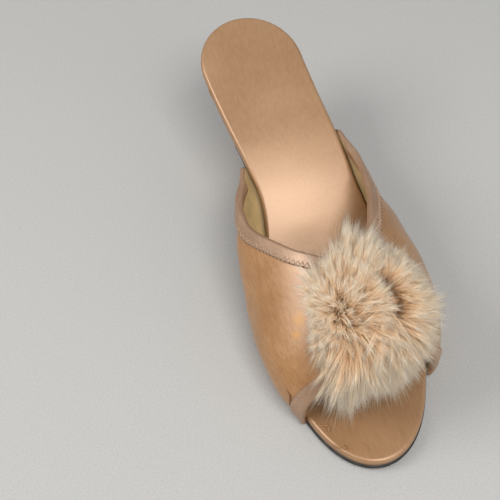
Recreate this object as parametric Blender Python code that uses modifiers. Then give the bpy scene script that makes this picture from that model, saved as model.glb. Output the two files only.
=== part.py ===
"""Left shoe of a pair of satin boudoir mules with a fur pompom on the vamp.

Metres. The toe points to -Y, the outer side of the left foot to +X, up is +Z.
The floor is z = 0 and the origin is the flat of the tread under the ball.
Distances "along" run from the back of the heel to the tip of the toe.
"""
import bpy
import numpy as np
from math import pi, radians

# Sizes of the sole
PLAN_LENGTH = 0.2258
HALF_BALL = 0.0375
SEAT_HEIGHT = 0.0712
INSOLE_THICK = 0.0044
OUTSOLE_THICK = 0.0023
GAP = 0.0003
STACK = INSOLE_THICK + GAP + OUTSOLE_THICK
TREAD_ALONG = 0.73 * PLAN_LENGTH
HEEL_ROUND = 0.112 * PLAN_LENGTH
TOE_ROUND = 0.300 * PLAN_LENGTH
OUTSOLE_LEDGE = 0.0003

# Sizes of the upper and its bindings
WALL = 0.0015
THROAT_HEIGHT = 0.0600
BINDING_WIDTH = 0.0056
BINDING_TUCK = 0.0034
BINDING_THICK = 0.0008

# Sizes of the heel
BREAST_ALONG = 0.268 * PLAN_LENGTH
HEEL_INSET = 0.0007
TIP_THICK = 0.0045

# Sizes of the pompom
POMPOM_CENTRE = (0.26 * HALF_BALL, 0.792 * PLAN_LENGTH, 0.96 * THROAT_HEIGHT)
POMPOM_SLANT = radians(43)
POMPOM_CORE = (0.0220, 0.0300, 0.0120)
LOCK_COUNT = 110
LOCK_LENGTH = 0.0190
LOCK_RADIUS = 0.0042
BED_DEPTH = 4 * WALL
BED_SQUASH = 0.6

# Sole, by share of the plan length: rise of the insole top between the tread
# and the back of the seat, sideways centre and half width in half ball widths
SOLE_TABLE = dict(
    along=(0.0, 0.112, 0.212, 0.270, 0.330, 0.392, 0.452, 0.511, 0.574, 0.640,
           0.690, 0.775, 0.885, 1.0),
    rise=(1.0, 0.877, 0.766, 0.695, 0.604, 0.494, 0.361, 0.216, 0.097, 0.022,
          0.0, 0.0, 0.017, 0.041),
    centre=(0.0, 0.040, 0.104, 0.157, 0.216, 0.261, 0.277, 0.267, 0.245, 0.221,
            0.203, 0.174, 0.128, 0.083),
    half=(0.683, 0.683, 0.672, 0.664, 0.651, 0.643, 0.688, 0.789, 0.885, 0.981,
          1.0, 0.950, 0.893, 0.888))

# Foot form inside the upper: the ridge's sideways place and the swell of each
# side in half ball widths, the ridge's height in throat heights
FORM_TABLE = dict(
    along=(0.25, 0.31, 0.345, 0.385, 0.42, 0.463, 0.504, 0.536, 0.567, 0.62, 0.664,
           0.709, 0.775, 0.819, 0.864, 0.93),
    across=(0.080, 0.070, 0.060, 0.055, 0.053, 0.055, 0.070, 0.088, 0.105, 0.135, 0.168,
            0.187, 0.179, 0.165, 0.149, 0.130),
    height=(1.25, 1.27, 1.27, 1.25, 1.225, 1.20, 1.133, 1.115, 1.09, 1.047, 1.0,
            0.933, 0.825, 0.733, 0.650, 0.530),
    medial=(0.030, 0.130, 0.200, 0.270, 0.320, 0.360, 0.370, 0.350, 0.320, 0.250, 0.220,
            0.213, 0.213, 0.187, 0.050, 0.0),
    lateral=(0.0, 0.030, 0.055, 0.070, 0.070, 0.070, 0.125, 0.165, 0.180, 0.187, 0.187,
             0.187, 0.187, 0.150, 0.040, 0.0))

# Edges of the upper: turn runs from -1 at the medial feather line over the
# ridge to +1 at the lateral one
TOPLINE_TABLE = dict(
    turn=(-1.0, -0.89, -0.78, -0.67, -0.44, -0.22, 0.0, 0.22, 0.44, 0.67, 0.78, 0.89, 1.0),
    along=(0.322, 0.366, 0.405, 0.452, 0.554, 0.624, 0.660, 0.616, 0.516, 0.434, 0.390,
           0.344, 0.292))
OPENING_TABLE = dict(
    turn=(-1.0, -0.5, 0.0, 0.5, 1.0),
    along=(0.862, 0.862, 0.851, 0.840, 0.833))

# Heel, by share of its height: back and front in heel lengths, half width
HEEL_TABLE = dict(
    height=(0.0, 0.2, 0.42, 0.58, 0.75, 0.9, 1.0),
    back=(0.500, 0.400, 0.280, 0.195, 0.110, 0.040, 0.012),
    front=(0.900, 0.880, 0.885, 0.905, 0.935, 0.975, 1.0),
    half=(0.460, 0.490, 0.570, 0.660, 0.790, 0.930, 1.0))

# Hair whorls on the pompom, across and along it in core half sizes
WHORLS = ((0.30, 0.10), (-0.52, 0.0))


def curve(xs, ys):
    """Smooth curve through table rows that never swings past a row."""
    xs = np.asarray(xs, float)
    ys = np.asarray(ys, float)
    steps = np.diff(xs)
    rates = np.diff(ys) / steps
    slopes = np.zeros(len(xs))
    slopes[0] = rates[0]
    slopes[-1] = rates[-1]
    turning = rates[:-1] * rates[1:] > 0
    first = 2 * steps[1:] + steps[:-1]
    second = steps[1:] + 2 * steps[:-1]
    safe = np.where(turning, rates[:-1], 1.0), np.where(turning, rates[1:], 1.0)
    mean = (first + second) / (first / safe[0] + second / safe[1])
    slopes[1:-1] = np.where(turning, mean, 0.0)

    def value(x):
        x = np.clip(x, xs[0], xs[-1])
        row = np.clip(np.searchsorted(xs, x, side='right') - 1, 0, len(steps) - 1)
        step = steps[row]
        u = (x - xs[row]) / step
        start = (1 + 2 * u) * (1 - u) ** 2 * ys[row] + u * (1 - u) ** 2 * step * slopes[row]
        end = u * u * (3 - 2 * u) * ys[row + 1] - u * u * (1 - u) * step * slopes[row + 1]
        return start + end
    return value


sole = {name: curve(SOLE_TABLE['along'], SOLE_TABLE[name]) for name in SOLE_TABLE}
form = {name: curve(FORM_TABLE['along'], FORM_TABLE[name]) for name in FORM_TABLE}
topline = curve(TOPLINE_TABLE['turn'], TOPLINE_TABLE['along'])
opening = curve(OPENING_TABLE['turn'], OPENING_TABLE['along'])
heel_form = {name: curve(HEEL_TABLE['height'], HEEL_TABLE[name]) for name in HEEL_TABLE}


def insole_top(along):
    """Height of the insole's top at a distance along the shoe."""
    return STACK + (SEAT_HEIGHT - STACK) * sole['rise'](along / PLAN_LENGTH)


def centre_line(along):
    """Sideways place of the sole's middle."""
    return HALF_BALL * sole['centre'](along / PLAN_LENGTH)


def half_width(along):
    """Half width of the insole, rounded at the heel and the toe."""
    straight = HALF_BALL * sole['half'](along / PLAN_LENGTH)
    heel = np.clip(1 - along / HEEL_ROUND, 0, 1)
    toe = np.clip(1 - (PLAN_LENGTH - along) / TOE_ROUND, 0, 1)
    return straight * np.sqrt(1 - heel ** 2) * np.sqrt(1 - toe ** 2.2)


def place(across, along, height):
    """Points of the shoe's frame from distances across, along and up."""
    across, along, height = np.broadcast_arrays(across, along, height)
    return np.stack([across, TREAD_ALONG - along, height], -1)


def sole_loop(start, end, count, ledge):
    """Plan outline: the medial side from back to front, then the lateral side."""
    stations = np.arange(count)
    if end < PLAN_LENGTH:
        share = 1 - np.cos(pi / 2 * (stations + 0.5) / (count - 0.5))
    elif start > 0:
        share = np.sin(pi / 2 * stations / (count - 0.5))
    else:
        share = (1 - np.cos(pi * (stations + 0.5) / count)) / 2
    along = start + (end - start) * share
    side = half_width(along)
    loop = np.concatenate([
        np.stack([centre_line(along) - side, along], -1),
        np.stack([centre_line(along) + side, along], -1)[::-1]])
    loop = inset(loop, -ledge)
    loop[:, 1] = np.maximum(loop[:, 1], start)
    return loop


def inset(loop, distance):
    """Outline moved inwards square to its own line."""
    ahead = np.roll(loop, -1, 0) - loop
    behind = loop - np.roll(loop, 1, 0)
    unit_ahead = ahead / np.linalg.norm(ahead, axis=1, keepdims=True)
    unit_behind = behind / np.linalg.norm(behind, axis=1, keepdims=True)
    tangent = unit_ahead + unit_behind
    tangent /= np.linalg.norm(tangent, axis=1, keepdims=True)
    inward = np.stack([tangent[:, 1], -tangent[:, 0]], -1)
    return loop + distance * inward


def solid(name, points, faces, colour, roughness=0.6):
    """One closed object with its own material."""
    mesh = bpy.data.meshes.new(name)
    mesh.from_pydata([tuple(p) for p in points], [], faces)
    mesh.validate()
    thing = bpy.data.objects.new(name, mesh)
    shoe.objects.link(thing)
    finish(thing, colour, roughness)
    return thing


def finish(thing, colour, roughness):
    """Give an object its own plain material."""
    material = bpy.data.materials.new(thing.name)
    material.use_nodes = True
    shader = material.node_tree.nodes['Principled BSDF']
    shader.inputs['Base Color'].default_value = (*colour, 1)
    shader.inputs['Roughness'].default_value = roughness
    thing.data.materials.clear()
    thing.data.materials.append(material)


def stack(name, rings, colour):
    """Solid from rings laid bottom to top, closed by bars across each end."""
    levels, count = len(rings), len(rings[0])
    half = count // 2
    faces = []
    for level in range(levels - 1):
        low, high = level * count, (level + 1) * count
        for i in range(count):
            j = (i + 1) % count
            faces.append((low + i, low + j, high + j, high + i))
    top = (levels - 1) * count
    for i in range(half - 1):
        left, right = i, count - 1 - i
        faces.append((left, right, right - 1, left + 1))
        faces.append((top + left, top + left + 1, top + right - 1, top + right))
    return solid(name, np.concatenate(rings), faces, colour)


def shell(name, outer, inner, colour):
    """Solid between two matching grids of points."""
    rows, columns = outer.shape[:2]
    size = rows * columns
    faces = []
    for r in range(rows - 1):
        for c in range(columns - 1):
            a, b = r * columns + c, r * columns + c + 1
            d, e = a + columns, b + columns
            faces.append((a, b, e, d))
            faces.append((size + a, size + d, size + e, size + b))
    border = [c for c in range(columns)]
    border += [r * columns + columns - 1 for r in range(1, rows)]
    border += [(rows - 1) * columns + c for c in range(columns - 2, -1, -1)]
    border += [r * columns for r in range(rows - 2, 0, -1)]
    for a, b in zip(border, border[1:] + border[:1]):
        faces.append((b, a, size + a, size + b))
    points = np.concatenate([outer.reshape(-1, 3), inner.reshape(-1, 3)])
    return solid(name, points, faces, colour)


def sweep(name, sections, colour):
    """Solid from matching closed sections laid one after the other."""
    length, count = sections.shape[:2]
    faces = []
    for s in range(length - 1):
        for i in range(count):
            j = (i + 1) % count
            a, b = s * count + i, s * count + j
            faces.append((b, a, a + count, b + count))
    last = (length - 1) * count
    faces.append(tuple(range(count)))
    faces.append(tuple(last + i for i in range(count))[::-1])
    return solid(name, sections.reshape(-1, 3), faces, colour)


def form_point(along, turn):
    """Outside of the upper at a distance along and a turn around the foot."""
    share = along / PLAN_LENGTH
    side = np.where(turn < 0, -1.0, 1.0)
    lift = pi / 2 * (1 - np.abs(turn))
    floor = insole_top(along) - INSOLE_THICK
    ridge_x = HALF_BALL * form['across'](share)
    ridge_z = THROAT_HEIGHT * form['height'](share)
    swell = HALF_BALL * np.where(turn < 0, form['medial'](share), form['lateral'](share))
    foot = centre_line(along) + side * (half_width(along) + GAP + WALL)
    reach = side * (foot - ridge_x) * np.clip(np.cos(lift), 0, 1) ** 0.8
    swollen = reach + swell * 3.5 * np.sin(lift) * np.cos(lift) ** 4
    return place(ridge_x + side * swollen, along, floor + (ridge_z - floor) * np.sin(lift))


def form_frame(along, turn):
    """Rates of the outside along and around, and its outward normal."""
    small = 1e-4
    per_along = (form_point(along + small, turn) - form_point(along - small, turn)) / (2 * small)
    ahead = np.clip(turn + 2e-3, -1, 1)
    back = np.clip(turn - 2e-3, -1, 1)
    per_turn = (form_point(along, ahead) - form_point(along, back)) / (ahead - back)[..., None]
    normal = np.cross(per_along, per_turn)
    normal /= np.linalg.norm(normal, axis=-1, keepdims=True)
    return per_along, per_turn, normal


def off_form(along, turn, out):
    """Point a distance outside the upper's outer surface."""
    return form_point(along, turn) + out * form_frame(along, turn)[2]


def binding(name, edge, turns, inward, colour):
    """Folded strip over an edge of the upper, cut from the upper's own form."""
    along = PLAN_LENGTH * edge(turns)
    above = form_point(along, turns)[:, 2] - insole_top(along)
    free = np.clip((above - 2 * GAP) / BINDING_TUCK, 0, 1)
    lining = np.clip(2 * free, 0, 1) * (GAP + BINDING_THICK)
    tuck = np.clip(2 * free - 1, 0, 1) * (BINDING_TUCK + 1.3 * GAP) - 1.3 * GAP
    low, high = GAP, GAP + BINDING_THICK
    fold = -2 * GAP
    inner = np.maximum(-0.8 * WALL - lining, -WALL - GAP)
    under = -WALL - lining
    section = ((BINDING_WIDTH, low), (BINDING_WIDTH, high), (2e-3, high), (fold, high),
               (-GAP - BINDING_THICK, -0.5 * WALL), (fold, under), (tuck, under),
               (tuck, inner), (-GAP, inner), (-GAP, low), (2e-3, low))
    per_along, per_turn, normal = form_frame(along, turns)
    small = 2e-3
    step = PLAN_LENGTH * (edge(turns + small) - edge(turns - small)) / (2 * small)
    line = per_turn + per_along * step[:, None]
    line /= np.linalg.norm(line, axis=1, keepdims=True)
    into = np.cross(normal, line)
    into *= np.sign((into * per_along).sum(1) * inward)[:, None]
    grid = np.stack([(per_along ** 2).sum(1), (per_along * per_turn).sum(1),
                     (per_turn ** 2).sum(1)])
    with_along, with_turn = (into * per_along).sum(1), (into * per_turn).sum(1)
    spread = grid[0] * grid[2] - grid[1] ** 2
    d_along = (with_along * grid[2] - with_turn * grid[1]) / spread
    d_turn = (with_turn * grid[0] - with_along * grid[1]) / spread
    rings = [off_form(along + a * d_along, np.clip(turns + a * d_turn, -1, 1),
                      np.broadcast_to(b, turns.shape)[:, None]) for a, b in section]
    rings = np.stack(rings, 1)
    return sweep(name, rings if inward > 0 else rings[:, ::-1], colour)


def sole_ring(loop, distance, drop):
    """Outline set in by a distance, laid a drop below the insole's top."""
    line = inset(loop, distance)
    return place(line[:, 0], line[:, 1], insole_top(line[:, 1]) - drop)


def make_insole():
    """Padded sock board, its cover wrapped round a soft rim."""
    loop = sole_loop(0, PLAN_LENGTH, 40, 0)
    rim = ((0.9e-3, INSOLE_THICK), (0.15e-3, 0.82 * INSOLE_THICK), (0, 0.45 * INSOLE_THICK),
           (0.5e-3, 0.16 * INSOLE_THICK), (1.6e-3, 0.02 * INSOLE_THICK), (3.2e-3, 0))
    return stack('insole', [sole_ring(loop, i, d) for i, d in rim], (0.48, 0.27, 0.13))


def make_outsole():
    """Thin sole from the heel breast to the toe."""
    loop = sole_loop(BREAST_ALONG + GAP, PLAN_LENGTH, 34, OUTSOLE_LEDGE)
    top = INSOLE_THICK + GAP
    edge = ((0.7e-3, STACK), (0, top + 0.6 * OUTSOLE_THICK), (0, top))
    return stack('outsole', [sole_ring(loop, i, d) for i, d in edge], (0.02, 0.018, 0.017))


def heel_ring(share):
    """Outline of the heel at a share of its height."""
    seat = sole_loop(0, BREAST_ALONG - GAP, 18, -HEEL_INSET)
    back = heel_form['back'](share) * BREAST_ALONG
    front = heel_form['front'](share) * (BREAST_ALONG - GAP)
    along = back + (front - back) * (seat[:, 1] - seat[:, 1].min()) / np.ptp(seat[:, 1])
    middle = centre_line(seat[:, 1])
    across = (seat[:, 0] - middle) * heel_form['half'](share)
    across += middle * share + centre_line(0.5 * BREAST_ALONG) * (1 - share)
    base = TIP_THICK + GAP
    seat_height = insole_top(seat[:, 1]) - INSOLE_THICK - GAP
    return place(across, along, base + (seat_height - base) * share)


def make_heel():
    """Covered heel, slanting forwards from the seat to the tip."""
    levels = np.linspace(0, 1, 13)
    heel = stack('heel', [heel_ring(share) for share in levels], (0.46, 0.26, 0.13))
    foot = heel_ring(0.0)
    rings = []
    for shrink, height in ((0.95, 0.0), (1.0, 0.4 * TIP_THICK), (1.0, TIP_THICK)):
        middle = foot.mean(0)
        ring = middle + (foot - middle) * shrink
        ring[:, 2] = height
        rings.append(ring)
    stack('heel_tip', rings, (0.02, 0.02, 0.02))
    return heel


def make_upper():
    """Satin upper: one hollow wall, open at the toe, at the back and below."""
    turns = np.linspace(-1, 1, 45)
    share = np.linspace(0, 1, 18) ** 1.3
    start, end = topline(turns) * PLAN_LENGTH, opening(turns) * PLAN_LENGTH
    along = start[:, None] + (end - start)[:, None] * share
    turn = np.repeat(turns[:, None], len(share), 1)
    outer = form_point(along, turn)
    normal = form_frame(along, turn)[2]
    inner = outer - WALL * normal
    return shell('upper', outer, inner, (0.50, 0.29, 0.13))


def lock_paths():
    """Centre lines of the fur locks, combed away from the whorls."""
    chance = np.random.RandomState(7)
    half = np.array(POMPOM_CORE)
    paths = []
    for k in range(LOCK_COUNT):
        up = 1 - 1.55 * (k + 0.5) / LOCK_COUNT
        angle = k * pi * (3 - 5 ** 0.5)
        ring = (1 - up * up) ** 0.5
        root = np.array([ring * np.cos(angle), ring * np.sin(angle), up])
        whorl = min(WHORLS, key=lambda w: (root[0] - w[0]) ** 2 + (root[1] - w[1]) ** 2)
        comb = np.array([root[0] - whorl[0], root[1] - whorl[1], 0.0])
        comb /= np.linalg.norm(comb) + 1e-6
        swerve = 0.25 * chance.standard_normal(3)
        outward = root / half
        outward /= np.linalg.norm(outward)
        aim = 1.0 * comb + 0.45 * outward + swerve
        aim /= np.linalg.norm(aim)
        length = LOCK_LENGTH * (0.8 + 0.35 * chance.random_sample())
        sag = np.array([0, 0.10, -0.14]) * length
        start = root * half * 0.72
        shares = np.array([0.0, 0.4, 0.75, 1.0])
        paths.append(start + aim * (shares * length)[:, None] + sag * (shares ** 2)[:, None])
    return paths


def to_shoe(local):
    """Pompom points laid on its slant: local y runs down towards the toe."""
    cosine, sine = np.cos(POMPOM_SLANT), np.sin(POMPOM_SLANT)
    across = POMPOM_CENTRE[0] + local[..., 0]
    along = POMPOM_CENTRE[1] + local[..., 1] * cosine + local[..., 2] * sine
    height = POMPOM_CENTRE[2] - local[..., 1] * sine + local[..., 2] * cosine
    return place(across, along, height)


def make_bed():
    """Block that clears the pompom's underside off the upper and bindings."""
    turns = np.linspace(-0.9, 0.9, 41)
    spare = 2 * GAP + BINDING_THICK
    start = topline(turns) * PLAN_LENGTH - spare
    end = opening(turns) * PLAN_LENGTH + spare
    share = np.array([0, 0.05, 0.1, 0.2, 0.35, 0.5, 0.65, 0.8, 0.9, 0.95, 1.0])
    along = start[:, None] + (end - start)[:, None] * share
    turn = np.repeat(turns[:, None], len(share), 1)
    near_edge = np.minimum(along - start[:, None], end[:, None] - along)
    out = GAP + (GAP + BINDING_THICK) * np.clip((3 * BINDING_WIDTH - near_edge) / BINDING_WIDTH
                                                - 1, 0, 1)
    bed = shell('pompom bed', off_form(along, turn, out[..., None]),
                off_form(along, turn, -BED_DEPTH) * (1, 1, BED_SQUASH), (0.5, 0.5, 0.5))
    shoe.objects.unlink(bed)
    tools.objects.link(bed)
    bed.hide_render = True
    bed.display_type = 'WIRE'
    return bed


def baked(thing):
    """Mesh of an object with its modifiers applied."""
    bpy.context.view_layer.update()
    return bpy.data.meshes.new_from_object(
        thing.evaluated_get(bpy.context.evaluated_depsgraph_get()))


def make_pompom():
    """Fur pompom: a core with locks fused on, hollowed where it sits."""
    strands = bpy.data.curves.new('locks', 'CURVE')
    strands.dimensions = '3D'
    strands.bevel_depth = LOCK_RADIUS
    strands.bevel_resolution = 1
    strands.use_fill_caps = True
    for path in lock_paths():
        spline = strands.splines.new('POLY')
        spline.points.add(len(path) - 1)
        for point, place_at, size in zip(spline.points, to_shoe(path), (1.15, 1.0, 0.66, 0.16)):
            point.co = (*place_at, 1)
            point.radius = size
    locks = bpy.data.objects.new('locks', strands)
    shoe.objects.link(locks)
    lock_mesh = baked(locks)
    bpy.data.objects.remove(locks)

    rings, count = 14, 24
    lift = np.linspace(0, pi, rings + 2)[1:-1]
    spin = 2 * pi * np.arange(count) / count
    ball = np.stack([np.sin(lift)[:, None] * np.cos(spin), np.sin(lift)[:, None] * np.sin(spin),
                     np.repeat(np.cos(lift)[:, None], count, 1)], -1)
    core = sweep('pompom', to_shoe(ball * POMPOM_CORE), (0.75, 0.62, 0.48))

    points = [tuple(v.co) for v in core.data.vertices]
    points += [tuple(v.co) for v in lock_mesh.vertices]
    offset = len(core.data.vertices)
    faces = [tuple(p.vertices) for p in core.data.polygons]
    faces += [tuple(offset + i for i in p.vertices) for p in lock_mesh.polygons]
    bpy.data.objects.remove(core)
    pompom = solid('pompom', points, faces, (0.75, 0.62, 0.48), 0.95)

    fuse = pompom.modifiers.new('fuse', 'REMESH')
    fuse.mode = 'VOXEL'
    fuse.voxel_size = 0.0014
    thin = pompom.modifiers.new('thin', 'DECIMATE')
    thin.ratio = 0.16
    seat = pompom.modifiers.new('seat', 'BOOLEAN')
    seat.operation = 'DIFFERENCE'
    seat.solver = 'EXACT'
    seat.object = make_bed()
    return pompom


for old in list(bpy.data.objects):
    bpy.data.objects.remove(old, do_unlink=True)
shoe = bpy.data.collections.new('fluffy heeled mule')
tools = bpy.data.collections.new('cutting tools')
bpy.context.scene.collection.children.link(shoe)
bpy.context.scene.collection.children.link(tools)

make_outsole()
make_insole()
make_heel()
make_upper()
binding('topline_binding', topline, np.linspace(-0.89, 0.89, 49), 1, (0.55, 0.37, 0.26))
binding('toe_binding', opening, np.linspace(-1, 1, 37), -1, (0.55, 0.37, 0.26))
make_pompom()
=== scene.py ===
from math import pi, radians

import bmesh
import bpy
import numpy as np
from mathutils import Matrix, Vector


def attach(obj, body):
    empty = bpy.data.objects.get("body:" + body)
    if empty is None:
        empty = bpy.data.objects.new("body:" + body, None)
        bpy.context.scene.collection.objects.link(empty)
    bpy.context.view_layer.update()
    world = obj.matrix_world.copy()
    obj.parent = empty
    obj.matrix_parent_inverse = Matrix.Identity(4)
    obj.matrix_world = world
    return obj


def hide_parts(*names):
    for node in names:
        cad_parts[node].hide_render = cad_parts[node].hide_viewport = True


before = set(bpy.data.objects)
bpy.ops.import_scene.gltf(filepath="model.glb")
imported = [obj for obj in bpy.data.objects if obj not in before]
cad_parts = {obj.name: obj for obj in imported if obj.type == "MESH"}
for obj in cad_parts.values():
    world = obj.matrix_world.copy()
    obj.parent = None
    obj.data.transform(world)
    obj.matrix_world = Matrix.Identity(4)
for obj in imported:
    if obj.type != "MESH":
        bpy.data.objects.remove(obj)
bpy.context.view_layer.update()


# Outsole
# One thin sheet of dark sole leather, cut to the outline of the last and glued on last.
# Its edge is inked black and shows as a fine line under the satin.
PLAN_LENGTH = 0.2258
HALF_BALL = 0.0375
SEAT_HEIGHT = 0.0712
INSOLE_THICK = 0.0044
OUTSOLE_THICK = 0.0023
GAP = 0.0003
STACK = INSOLE_THICK + GAP + OUTSOLE_THICK
TREAD_ALONG = 0.73 * PLAN_LENGTH
HEEL_ROUND = 0.112 * PLAN_LENGTH
TOE_ROUND = 0.300 * PLAN_LENGTH
TOE_POWER = 2.2
SPINE_END = 0.90 * PLAN_LENGTH
BREAST_ALONG = 0.268 * PLAN_LENGTH
OUTSOLE_LEDGE = 0.0003
LEDGE_TUCK = 0.0006
LEDGE_FADE = 0.030
SOLE_BLACK = (0.012, 0.011, 0.010, 1)
SOLE_SCUFF = (0.060, 0.050, 0.042, 1)

# By share of the plan length: rise of the insole top between the tread and the
# back of the seat, sideways centre and half width in half ball widths
SOLE_TABLE = dict(
    along=(0.0, 0.112, 0.212, 0.270, 0.330, 0.392, 0.452, 0.511, 0.574, 0.640,
           0.690, 0.775, 0.885, 1.0),
    rise=(1.0, 0.877, 0.766, 0.695, 0.604, 0.494, 0.361, 0.216, 0.097, 0.022,
          0.0, 0.0, 0.017, 0.041),
    centre=(0.0, 0.040, 0.104, 0.157, 0.216, 0.261, 0.277, 0.267, 0.245, 0.221,
            0.203, 0.174, 0.128, 0.083),
    half=(0.683, 0.683, 0.672, 0.664, 0.651, 0.643, 0.688, 0.789, 0.885, 0.981,
          1.0, 0.950, 0.893, 0.888))


def curve(xs, ys):
    """Cubic through the rows, each slope the weighted harmonic mean of its two chords."""
    xs, ys = np.asarray(xs, float), np.asarray(ys, float)
    steps = np.diff(xs)
    rates = np.diff(ys) / steps
    slopes = np.concatenate([rates[:1], np.zeros(len(xs) - 2), rates[-1:]])
    same_way = rates[:-1] * rates[1:] > 0
    before, after = 2 * steps[1:] + steps[:-1], steps[1:] + 2 * steps[:-1]
    low, high = np.where(same_way, rates[:-1], 1.0), np.where(same_way, rates[1:], 1.0)
    slopes[1:-1] = np.where(same_way, (before + after) / (before / low + after / high), 0.0)

    def value(x):
        """The cubic's height at x, held level before the first row and past the last."""
        x = np.clip(x, xs[0], xs[-1])
        row = np.clip(np.searchsorted(xs, x, side="right") - 1, 0, len(steps) - 1)
        step = steps[row]
        u = (x - xs[row]) / step
        start = (1 + 2 * u) * (1 - u) ** 2 * ys[row] + u * (1 - u) ** 2 * step * slopes[row]
        end = u * u * (3 - 2 * u) * ys[row + 1] - u * u * (1 - u) * step * slopes[row + 1]
        return start + end
    return value


sole = {name: curve(SOLE_TABLE["along"], SOLE_TABLE[name]) for name in SOLE_TABLE}


def insole_top(along):
    """Height of the insole's top: the stack under the foot plus its share of the heel's rise."""
    return STACK + (SEAT_HEIGHT - STACK) * sole["rise"](along / PLAN_LENGTH)


def centre_line(along):
    """Sideways place of the sole's middle at a distance along."""
    return HALF_BALL * sole["centre"](along / PLAN_LENGTH)


def half_width(along):
    """Half width from the table, times a quarter circle at the heel and a fuller one at the toe."""
    straight = HALF_BALL * sole["half"](along / PLAN_LENGTH)
    heel = np.clip(1 - along / HEEL_ROUND, 0, 1)
    toe = np.clip(1 - (PLAN_LENGTH - along) / TOE_ROUND, 0, 1)
    return straight * np.sqrt(1 - heel ** 2) * np.sqrt(1 - toe ** TOE_POWER)


def place(across, along, height):
    """Points of the shoe's frame from distances across, along and up."""
    across, along, height = np.broadcast_arrays(across, along, height)
    return np.stack([across, TREAD_ALONG - along, height], -1)


def outline(start, end, count):
    """Plan outline: the medial side from back to front, then the lateral side back again.

    Stations crowd together towards a rounded end as the cosine of equal angles.
    """
    step = np.arange(count)
    if end < PLAN_LENGTH:
        share = 1 - np.cos(pi / 2 * (step + 0.5) / (count - 0.5))
    elif start > 0:
        share = np.sin(pi / 2 * step / (count - 0.5))
    else:
        share = (1 - np.cos(pi * (step + 0.5) / count)) / 2
    along = start + (end - start) * share
    middle, side = centre_line(along), half_width(along)
    medial = np.stack([middle - side, along], -1)
    lateral = np.stack([middle + side, along], -1)
    return np.concatenate([medial, lateral[::-1]])


def inset(loop, distance):
    """Outline moved inwards square to its own line."""
    ahead, behind = np.roll(loop, -1, 0) - loop, loop - np.roll(loop, 1, 0)
    tangent = ahead / np.linalg.norm(ahead, axis=1, keepdims=True)
    tangent = tangent + behind / np.linalg.norm(behind, axis=1, keepdims=True)
    tangent /= np.linalg.norm(tangent, axis=1, keepdims=True)
    return loop + distance * np.stack([tangent[:, 1], -tangent[:, 0]], -1)


def cells(rows, columns, wrap=False):
    """Corner numbers of the cells of a grid, its columns joined end to start if wrapped."""
    row, column = np.meshgrid(np.arange(rows - 1), np.arange(columns if wrap else columns - 1),
                              indexing="ij")
    ahead = (column + 1) % columns
    corners = [row * columns + column, row * columns + ahead,
               (row + 1) * columns + ahead, (row + 1) * columns + column]
    return np.stack(corners, -1).reshape(-1, 4)


def piece(name, points, faces, material, merge=1e-6):
    """Smooth mesh piece that rides on the shoe, its coinciding points merged."""
    mesh = bpy.data.meshes.new(name)
    mesh.from_pydata(np.reshape(points, (-1, 3)).tolist(), [], np.asarray(faces).tolist())
    if merge:
        work = bmesh.new()
        work.from_mesh(mesh)
        bmesh.ops.remove_doubles(work, verts=work.verts, dist=merge)
        bmesh.ops.dissolve_degenerate(work, edges=work.edges, dist=merge)
        work.to_mesh(mesh)
        work.free()
    mesh.shade_smooth()
    mesh.materials.append(material)
    made = bpy.data.objects.new(name, mesh)
    bpy.context.scene.collection.objects.link(made)
    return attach(made, "root")


def sole_skin(loop, rows):
    """Closed skin of a sole: the outline carried through rows of a section.

    Each row sets the outline in by a distance, then draws it a share of the way to
    the spine between the centres of the two round ends, at a drop below the insole top.
    Both sides of a station share one point of the spine, so the skin closes there.
    """
    spine_along = np.clip(loop[:, 1], loop[:, 1].min() + HEEL_ROUND, SPINE_END)
    spine_along = (spine_along + spine_along[::-1]) / 2
    spine = np.stack([centre_line(spine_along), spine_along], -1)
    rings = []
    for distance, share, drop in rows:
        ring = inset(loop, distance)
        ring = ring + (spine - ring) * share
        rings.append(place(ring[:, 0], ring[:, 1], insole_top(ring[:, 1]) - drop))
    return np.stack(rings)


def add(nodes, kind, inputs=None, **settings):
    """One shader node with its settings, and its inputs set or linked."""
    new = nodes.new(kind)
    for name, value in settings.items():
        setattr(new, name, value)
    for name, value in (inputs or {}).items():
        if isinstance(value, bpy.types.NodeSocket):
            nodes.id_data.links.new(value, new.inputs[name])
        else:
            new.inputs[name].default_value = value
    return new


def ramp(nodes, factor, *stops):
    """Colour ramp through (place, colour) stops."""
    made = add(nodes, "ShaderNodeValToRGB", {"Fac": factor})
    band = made.color_ramp
    band.elements[0].position, band.elements[0].color = stops[0]
    band.elements[1].position, band.elements[1].color = stops[-1]
    for spot, colour in stops[1:-1]:
        band.elements.new(spot).color = colour
    return made.outputs["Color"]


def finish_of(name, colour, roughness, normal=None, **constants):
    """Material around one Principled shader; constants go straight on its sockets."""
    material = bpy.data.materials.new(name)
    material.use_nodes = True
    nodes = material.node_tree.nodes
    shader = nodes["Principled BSDF"]
    links = material.node_tree.links
    links.new(colour(nodes), shader.inputs["Base Color"])
    if callable(roughness):
        links.new(roughness(nodes), shader.inputs["Roughness"])
    else:
        shader.inputs["Roughness"].default_value = roughness
    if normal:
        links.new(normal(nodes), shader.inputs["Normal"])
    for label, value in constants.items():
        shader.inputs[label.replace("_", " ")].default_value = value
    return material


def object_noise(nodes, scale, detail=3.0, stretch=(1, 1, 1)):
    """Noise on object coordinates, in cells per metre, stretched by an axis scale."""
    where = add(nodes, "ShaderNodeTexCoord").outputs["Object"]
    turned = add(nodes, "ShaderNodeMapping", {"Vector": where, "Scale": stretch})
    return add(nodes, "ShaderNodeTexNoise", {
        "Vector": turned.outputs["Vector"], "Scale": scale, "Detail": detail,
        "Roughness": 0.55}).outputs["Fac"]


def bump(nodes, height, strength, distance):
    """Normal from a height that changes over the surface."""
    return add(nodes, "ShaderNodeBump", {
        "Height": height, "Strength": strength, "Distance": distance}).outputs["Normal"]


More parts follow.
